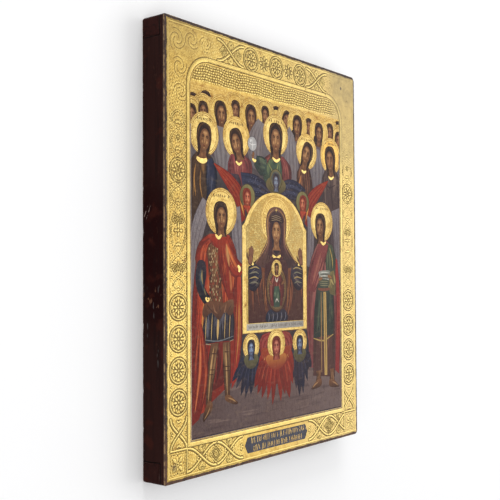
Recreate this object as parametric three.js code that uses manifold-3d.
import * as THREE from "three";
import { mergeVertices } from "three/addons/utils/BufferGeometryUtils.js";
import Module from "manifold-3d";

// Icon panel lying on its back: a wooden board with a batten let into the back at each end, and a
// coat of gesso on the face that carries the gilding, the painting and a border in low relief.
// Millimetres. The origin is the middle of the back, +X is the picture's right, +Y is its top and
// +Z points out of its face.

// The board and its gesso
const PANEL_WIDTH = 270;
const PANEL_HEIGHT = 350;
const BOARD_THICKNESS = 21.6;
const GESSO_THICKNESS = 1.2;
const CORNER_RADIUS = 2;
const EDGE_ROUNDING = 0.9;

// The battens, from the end of the panel inwards and from the back forwards. The lean and the dip
// make each one wider and deeper inside than where it shows, so that it can't slip out.
const TOP_BATTEN_HEIGHT = 13;
const TOP_BATTEN_DEPTH = 15.5;
const BOTTOM_BATTEN_HEIGHT = 14;
const BOTTOM_BATTEN_DEPTH = 14.4;
const BATTEN_LEAN = 3;
const BATTEN_DIP = 2.7;
const BATTEN_CLEARANCE = 0.3;

// The border, from the edge of the panel inwards: a bare margin, a smooth band, a channel of
// ornament and a smooth band that frames the picture
const MARGIN_WIDTH = 3.5;
const OUTER_BAND_WIDTH = 2;
const CHANNEL_WIDTH = 18.9;
const FRAME_BAND_WIDTH = 3.6;
const FIELD_CORNER_RADIUS = 22;
const CORNER_BAR_WIDTH = 1.6;

// The relief stands on the gesso and is rooted in it
const RELIEF_RISE = 0.4;
const RELIEF_ROOT = 0.4;
const RELIEF_OVERLAP = 0.35;
const STRAP_WIDTH = 2.2;
const STRAP_STEP = 3.3;

// The straps that cross, with the label between them at the foot
const LABEL_CENTRE = 3.5;
const LABEL_LENGTH = 89;
const LABEL_CLEARANCE = 3.5;
const HALF_WAVE = 33;
const SIDE_HALF_WAVE = 23;
const LOZENGE_RADIUS = 4.6;
const LOZENGE_HOLLOW = 2.4;

// The roundels and what stands between them
const RING_WIDTH = 1.6;
const ROSETTE_RADIUS = 6.4;
const ROSETTE_HOLLOW = 3.8;
const ROSETTE_PETALS = 8;
const SIDE_ROUNDELS = 4;
const SIDE_ROUNDEL_PITCH = 23.3;
const TOP_ROUNDELS = 3;
const TOP_ROUNDEL_PITCH = 36;
const TOP_CENTRE = 4.5;
const TOP_CROSSING_OFFSET = 30;
const ROUND_SIDES = 20;

// The palmettes and knots that take turns up the side borders. Heights are above the foot of a
// motif's pitch.
const MOTIF_PITCH = 27;
const VOLUTE_HEIGHT = 9.5;
const VOLUTE_OFFSET = 4.7;
const VOLUTE_RADIUS = 3.9;
const VOLUTE_EYE = 1.5;
const VOLUTE_TURNS = 1.2;
const VOLUTE_WIDTH = 1.1;
const VOLUTE_STEPS = 9;
const BUD_HEIGHT = 17;
const BUD_LENGTH = 8;
const BUD_WIDTH = 4.2;
const KNOT_HEIGHT = 13;
const KNOT_RADIUS = 3;
const KNOT_EYE = 1.6;
const LEAF_REACH = 6.2;
const OGEE_HEIGHT = 12;
const OGEE_FULLNESS = 10;
const OGEE_WIDTH = 1.4;
const OGEE_STEPS = 6;

// How much of the border is rubbed smooth, from the top of the panel down and from its sides in
const RUBBED_HEIGHT = 45;
const RUBBED_WIDTH = 46;

const wasm = await Module();
wasm.setup();

const panelHalfWidth = PANEL_WIDTH / 2;
const panelHalfHeight = PANEL_HEIGHT / 2;
const surface = BOARD_THICKNESS + GESSO_THICKNESS;
const outerBandInset = MARGIN_WIDTH;
const channelInset = outerBandInset + OUTER_BAND_WIDTH;
const frameBandInset = channelInset + CHANNEL_WIDTH;
const fieldInset = frameBandInset + FRAME_BAND_WIDTH;
const channelMiddleX = panelHalfWidth - channelInset - CHANNEL_WIDTH / 2;
const channelMiddleY = panelHalfHeight - channelInset - CHANNEL_WIDTH / 2;
const channelEndX = panelHalfWidth - frameBandInset;
const channelEndY = panelHalfHeight - frameBandInset;

// A closed geometry as a solid that can be joined and cut.
function solidFrom(geometry) {
  const bare = geometry.clone();
  bare.deleteAttribute("normal");
  bare.deleteAttribute("uv");
  const merged = mergeVertices(bare, 1e-4);
  return new wasm.Manifold(
    new wasm.Mesh({
      numProp: 3,
      vertProperties: merged.attributes.position.array,
      triVerts: new Uint32Array(merged.index.array),
    }),
  );
}

// A solid back as a geometry for a mesh.
function geometryFrom(solid) {
  const mesh = solid.getMesh();
  const geometry = new THREE.BufferGeometry();
  const positions = new Float32Array(mesh.numVert * 3);
  for (let i = 0; i < mesh.numVert; i++) {
    const start = i * mesh.numProp;
    positions.set(mesh.vertProperties.subarray(start, start + 3), i * 3);
  }
  geometry.setAttribute("position", new THREE.BufferAttribute(positions, 3));
  geometry.setIndex(new THREE.BufferAttribute(mesh.triVerts, 1));
  const faceted = geometry.toNonIndexed();
  faceted.computeVertexNormals();
  return faceted;
}

function joined(solids) {
  return solids.reduce((whole, next) => whole.add(next));
}

// A block between two heights, wide enough to cut the whole panel.
function layer(bottom, top) {
  const box = new THREE.BoxGeometry(2 * PANEL_WIDTH, 2 * PANEL_HEIGHT, top - bottom);
  box.translate(0, 0, (bottom + top) / 2);
  return solidFrom(box);
}

// A rectangle around the panel's middle, inset from its edge, with its corners rounded by these
// radii. A radius of zero leaves a square corner.
function insetRectangle(inset, bottomRadius, topRadius, outline = new THREE.Shape()) {
  const x = panelHalfWidth - inset;
  const y = panelHalfHeight - inset;
  outline.moveTo(-x + bottomRadius, -y);
  outline.lineTo(x - bottomRadius, -y);
  if (bottomRadius > 0) {
    outline.absarc(x - bottomRadius, -y + bottomRadius, bottomRadius, -Math.PI / 2, 0, false);
  }
  outline.lineTo(x, y - topRadius);
  if (topRadius > 0) {
    outline.absarc(x - topRadius, y - topRadius, topRadius, 0, Math.PI / 2, false);
  }
  outline.lineTo(-x + topRadius, y);
  if (topRadius > 0) {
    outline.absarc(-x + topRadius, y - topRadius, topRadius, Math.PI / 2, Math.PI, false);
  }
  outline.lineTo(-x, -y + bottomRadius);
  if (bottomRadius > 0) {
    outline.absarc(-x + bottomRadius, -y + bottomRadius, bottomRadius, Math.PI, 1.5 * Math.PI, false);
  }
  return outline;
}

// The whole panel, back to face, before it is parted into board, battens and gesso.
function panelBlank() {
  const geometry = new THREE.ExtrudeGeometry(insetRectangle(0, CORNER_RADIUS, CORNER_RADIUS), {
    depth: surface - 2 * EDGE_ROUNDING,
    bevelThickness: EDGE_ROUNDING,
    bevelSize: EDGE_ROUNDING,
    bevelOffset: -EDGE_ROUNDING,
    bevelSegments: 2,
    curveSegments: 4,
  });
  geometry.translate(0, 0, EDGE_ROUNDING);
  return solidFrom(geometry);
}

// A bar across the panel with a batten's section. It reaches past the panel's sides, back and end.
// side is 1 at the top of the picture and -1 at its foot.
function battenBar(side, height, depth, clearance) {
  const overshoot = 2;
  const end = panelHalfHeight + overshoot;
  const section = new THREE.Shape([
    new THREE.Vector2(side * end, -overshoot),
    new THREE.Vector2(side * end, depth + clearance),
    new THREE.Vector2(side * panelHalfHeight, depth + clearance),
    new THREE.Vector2(
      side * (panelHalfHeight - height - BATTEN_LEAN - clearance),
      depth + BATTEN_DIP + clearance,
    ),
    new THREE.Vector2(side * (panelHalfHeight - height - clearance), 0),
    new THREE.Vector2(side * (panelHalfHeight - height - clearance), -overshoot),
  ]);
  const geometry = new THREE.ExtrudeGeometry(section, {
    depth: PANEL_WIDTH + 2 * overshoot,
    bevelEnabled: false,
  });
  geometry.translate(0, 0, -panelHalfWidth - overshoot);
  const acrossPanel = new THREE.Matrix4().makeBasis(
    new THREE.Vector3(0, 1, 0),
    new THREE.Vector3(0, 0, 1),
    new THREE.Vector3(1, 0, 0),
  );
  geometry.applyMatrix4(acrossPanel);
  return solidFrom(geometry);
}

// A plan shape as relief: rooted in the gesso and standing above its surface.
function relief(shape) {
  const geometry = new THREE.ExtrudeGeometry(shape, {
    depth: RELIEF_ROOT + RELIEF_RISE,
    bevelEnabled: false,
    curveSegments: ROUND_SIDES / 4,
  });
  geometry.translate(0, 0, surface - RELIEF_ROOT);
  return solidFrom(geometry);
}

// A strap of even width along a line of plan points.
function strap(points, width) {
  const left = [];
  const right = [];
  points.forEach((point, i) => {
    const before = points[Math.max(i - 1, 0)];
    const after = points[Math.min(i + 1, points.length - 1)];
    const along = after.clone().sub(before).normalize();
    const across = new THREE.Vector2(-along.y, along.x).multiplyScalar(width / 2);
    left.push(point.clone().add(across));
    right.push(point.clone().sub(across));
  });
  return new THREE.Shape([...right, ...left.reverse()]);
}

// A band between two insets from the panel's edge.
function frameBand(outer, inner, innerTopRadius) {
  const width = inner - outer;
  const outerTopRadius = innerTopRadius > 0 ? innerTopRadius + width : 0;
  const shape = insetRectangle(outer, 0, outerTopRadius);
  shape.holes.push(insetRectangle(inner, 0, innerTopRadius, new THREE.Path()));
  return relief(shape);
}

// A polygon with this many sides around a centre, whose radius may change from corner to corner.
function polygonPoints(x, y, sides, radiusAt) {
  return Array.from({ length: sides }, (_, i) => {
    const angle = (i / sides) * 2 * Math.PI;
    const radius = radiusAt(i);
    return new THREE.Vector2(x + radius * Math.cos(angle), y + radius * Math.sin(angle));
  });
}

// A ring that fills the channel, with a rosette of pointed petals in it.
function roundel(x, y) {
  const radius = CHANNEL_WIDTH / 2 + RELIEF_OVERLAP;
  const ring = new THREE.Shape(polygonPoints(x, y, ROUND_SIDES, () => radius));
  ring.holes.push(new THREE.Path(polygonPoints(x, y, ROUND_SIDES, () => radius - RING_WIDTH)));
  const petalAt = (i) => (i % 2 ? ROSETTE_HOLLOW : ROSETTE_RADIUS);
  const rosette = new THREE.Shape(polygonPoints(x, y, 2 * ROSETTE_PETALS, petalAt));
  return [relief(ring), relief(rosette)];
}

// Two straps that swing from one side of a channel to the other and cross halfway. They start
// apart, and each half wave brings one crossing. place turns a length along the channel and a
// distance from its middle into a plan point.
function crossingStraps(start, end, halfWave, place) {
  const swing = (CHANNEL_WIDTH - STRAP_WIDTH) / 2 + RELIEF_OVERLAP;
  const steps = Math.max(2, Math.round((end - start) / STRAP_STEP));
  return [1, -1].map((side) => {
    const points = Array.from({ length: steps + 1 }, (_, i) => {
      const along = start + ((end - start) * i) / steps;
      return place(along, side * swing * Math.cos((Math.PI * (along - start)) / halfWave));
    });
    return relief(strap(points, STRAP_WIDTH));
  });
}

// A small square ring that stands on its corner.
function lozenge(x, y) {
  const shape = new THREE.Shape(polygonPoints(x, y, 4, () => LOZENGE_RADIUS));
  shape.holes.push(new THREE.Path(polygonPoints(x, y, 4, () => LOZENGE_HOLLOW)));
  return relief(shape);
}

// A leaf with its fat end at the foot, leaning by an angle from straight up.
function leaf(x, y, lean) {
  const place = (across, along) => {
    const point = new THREE.Vector2(across, along).rotateAround(new THREE.Vector2(), -lean);
    return [x + point.x, y + point.y];
  };
  const bud = new THREE.Shape();
  bud.moveTo(...place(0, -BUD_LENGTH / 2));
  for (const side of [1, -1]) {
    const belly = place(side * BUD_WIDTH, -BUD_LENGTH / 4);
    bud.quadraticCurveTo(...belly, ...place(0, (side * BUD_LENGTH) / 2));
  }
  return relief(bud);
}

// The two arcs that close a motif on a side channel with a point at the top.
function ogeeArch(x, y) {
  const reach = CHANNEL_WIDTH / 2;
  const tip = y + MOTIF_PITCH;
  return [1, -1].map((side) => {
    const ogee = new THREE.CubicBezierCurve(
      new THREE.Vector2(x + side * reach, y + OGEE_HEIGHT),
      new THREE.Vector2(x + side * reach, y + OGEE_HEIGHT + OGEE_FULLNESS),
      new THREE.Vector2(x, tip - OGEE_FULLNESS / 2),
      new THREE.Vector2(x, tip),
    );
    return relief(strap(ogee.getPoints(OGEE_STEPS), OGEE_WIDTH));
  });
}

// Two volutes and a bud on the axis, under an arch.
function palmette(x, y) {
  const volutes = [1, -1].map((side) => {
    const points = Array.from({ length: VOLUTE_STEPS + 1 }, (_, i) => {
      const share = i / VOLUTE_STEPS;
      const angle = Math.PI - share * VOLUTE_TURNS * 2 * Math.PI;
      const radius = VOLUTE_RADIUS + (VOLUTE_EYE - VOLUTE_RADIUS) * share;
      return new THREE.Vector2(
        x + side * (VOLUTE_OFFSET + radius * Math.cos(angle)),
        y + VOLUTE_HEIGHT + radius * Math.sin(angle),
      );
    });
    return relief(strap(points, VOLUTE_WIDTH));
  });
  return [...volutes, leaf(x, y + BUD_HEIGHT, 0), ...ogeeArch(x, y)];
}

// A small ring with a leaf at each of its four corners, under an arch.
function knot(x, y) {
  const middle = y + KNOT_HEIGHT;
  const ring = new THREE.Shape(polygonPoints(x, middle, 10, () => KNOT_RADIUS));
  ring.holes.push(new THREE.Path(polygonPoints(x, middle, 10, () => KNOT_EYE)));
  const leaves = [1, 3, 5, 7].map((eighth) => {
    const lean = (eighth * Math.PI) / 4;
    return leaf(x + LEAF_REACH * Math.sin(lean), middle + LEAF_REACH * Math.cos(lean), lean);
  });
  return [relief(ring), ...leaves, ...ogeeArch(x, y)];
}

// Everything in one side channel, from the foot up.
function sideOrnament(side) {
  const x = side * channelMiddleX;
  const foot = -channelEndY;
  const roundelStart = foot + SIDE_HALF_WAVE;
  const motifStart = roundelStart + SIDE_ROUNDELS * SIDE_ROUNDEL_PITCH;
  const rubbedStart = panelHalfHeight - RUBBED_HEIGHT;
  const motifs = Math.floor((rubbedStart - motifStart) / MOTIF_PITCH);
  const place = (along, across) => new THREE.Vector2(x + across, along);
  const pieces = crossingStraps(foot, roundelStart, SIDE_HALF_WAVE, place);
  for (let i = 0; i < SIDE_ROUNDELS; i++) {
    pieces.push(...roundel(x, roundelStart + (i + 0.5) * SIDE_ROUNDEL_PITCH));
  }
  for (let i = 0; i < motifs; i++) {
    const motif = i % 2 ? knot : palmette;
    pieces.push(...motif(x, motifStart + i * MOTIF_PITCH));
  }
  return pieces;
}

// The foot channel: straps from each end of the label to the corner, with a lozenge in the eye
// between two crossings.
function footOrnament() {
  const y = -channelMiddleY;
  return [1, -1].flatMap((side) => {
    const start = LABEL_LENGTH / 2 + LABEL_CLEARANCE;
    const end = channelEndX - side * LABEL_CENTRE;
    const place = (along, across) => new THREE.Vector2(LABEL_CENTRE + side * along, y + across);
    const eye = place(start + HALF_WAVE, 0);
    return [...crossingStraps(start, end, HALF_WAVE, place), lozenge(eye.x, eye.y)];
  });
}

// The top channel: a row of roundels with lozenges between, and one crossing at each end of it. The
// rest is rubbed.
function topOrnament() {
  const y = channelMiddleY;
  const rowHalf = ((TOP_ROUNDELS - 1) / 2) * TOP_ROUNDEL_PITCH;
  const crossing = rowHalf + TOP_CROSSING_OFFSET;
  const pieces = [];
  for (let i = 0; i < TOP_ROUNDELS; i++) {
    const x = TOP_CENTRE - rowHalf + i * TOP_ROUNDEL_PITCH;
    pieces.push(...roundel(x, y));
    if (i > 0) {
      pieces.push(lozenge(x - TOP_ROUNDEL_PITCH / 2, y));
    }
  }
  for (const side of [1, -1]) {
    const place = (along, across) => new THREE.Vector2(TOP_CENTRE + side * along, y + across);
    const start = crossing - HALF_WAVE / 2;
    pieces.push(...crossingStraps(start, start + HALF_WAVE, HALF_WAVE, place));
  }
  return pieces;
}

// The plan region of the ornament: the channel and a little of the bands beside it, where the two
// grow together, without the rubbed corners.
function channelRegion() {
  const ring = insetRectangle(channelInset - RELIEF_OVERLAP, 0, 0);
  ring.holes.push(insetRectangle(frameBandInset + RELIEF_OVERLAP, 0, 0, new THREE.Path()));
  const geometry = new THREE.ExtrudeGeometry(ring, { depth: surface, bevelEnabled: false });
  geometry.translate(0, 0, BOARD_THICKNESS);
  const rubbed = [1, -1].map((side) => {
    const box = new THREE.BoxGeometry(RUBBED_WIDTH, RUBBED_HEIGHT, 2 * surface);
    const x = side * (panelHalfWidth - RUBBED_WIDTH / 2);
    box.translate(x, panelHalfHeight - RUBBED_HEIGHT / 2, surface);
    return solidFrom(box);
  });
  return solidFrom(geometry).subtract(joined(rubbed));
}

// The bars that cut a square off each end of the foot channel. They carry on the outer edge of the
// frame band to the outer band.
function cornerBars() {
  const inset = frameBandInset + RELIEF_OVERLAP - CORNER_BAR_WIDTH / 2;
  const outer = channelInset - RELIEF_OVERLAP;
  return [1, -1].flatMap((side) => {
    const upright = [
      new THREE.Vector2(side * (panelHalfWidth - inset), -panelHalfHeight + outer),
      new THREE.Vector2(side * (panelHalfWidth - inset), -panelHalfHeight + fieldInset),
    ];
    const level = [
      new THREE.Vector2(side * (panelHalfWidth - outer), -panelHalfHeight + inset),
      new THREE.Vector2(side * (panelHalfWidth - fieldInset), -panelHalfHeight + inset),
    ];
    return [relief(strap(upright, CORNER_BAR_WIDTH)), relief(strap(level, CORNER_BAR_WIDTH))];
  });
}

const blank = panelBlank();
const gessoLayer = layer(BOARD_THICKNESS, 2 * surface);
const wood = blank.subtract(gessoLayer);

const topBatten = wood.intersect(battenBar(1, TOP_BATTEN_HEIGHT, TOP_BATTEN_DEPTH, 0));
const bottomBatten = wood.intersect(battenBar(-1, BOTTOM_BATTEN_HEIGHT, BOTTOM_BATTEN_DEPTH, 0));
const board = wood
  .subtract(battenBar(1, TOP_BATTEN_HEIGHT, TOP_BATTEN_DEPTH, BATTEN_CLEARANCE))
  .subtract(battenBar(-1, BOTTOM_BATTEN_HEIGHT, BOTTOM_BATTEN_DEPTH, BATTEN_CLEARANCE));

const ornament = joined([
  ...sideOrnament(1),
  ...sideOrnament(-1),
  ...footOrnament(),
  ...topOrnament(),
]).intersect(channelRegion());
const gessoFace = joined([
  blank.intersect(gessoLayer),
  frameBand(outerBandInset, channelInset, 0),
  frameBand(frameBandInset, fieldInset, FIELD_CORNER_RADIUS),
  ...cornerBars(),
  ornament,
]);

const darkWood = { color: 0x38201b, roughness: 0.5, metalness: 0 };
const battenWood = { color: 0x42281f, roughness: 0.55, metalness: 0 };
const gold = { color: 0xd8b25a, roughness: 0.35, metalness: 0.9 };

const panel = new THREE.Group();
for (const [name, solid, finish] of [
  ["board", board, darkWood],
  ["top_batten", topBatten, battenWood],
  ["bottom_batten", bottomBatten, battenWood],
  ["gesso_face", gessoFace, gold],
]) {
  const mesh = new THREE.Mesh(geometryFrom(solid), new THREE.MeshStandardMaterial(finish));
  mesh.name = name;
  panel.add(mesh);
}

export default panel;
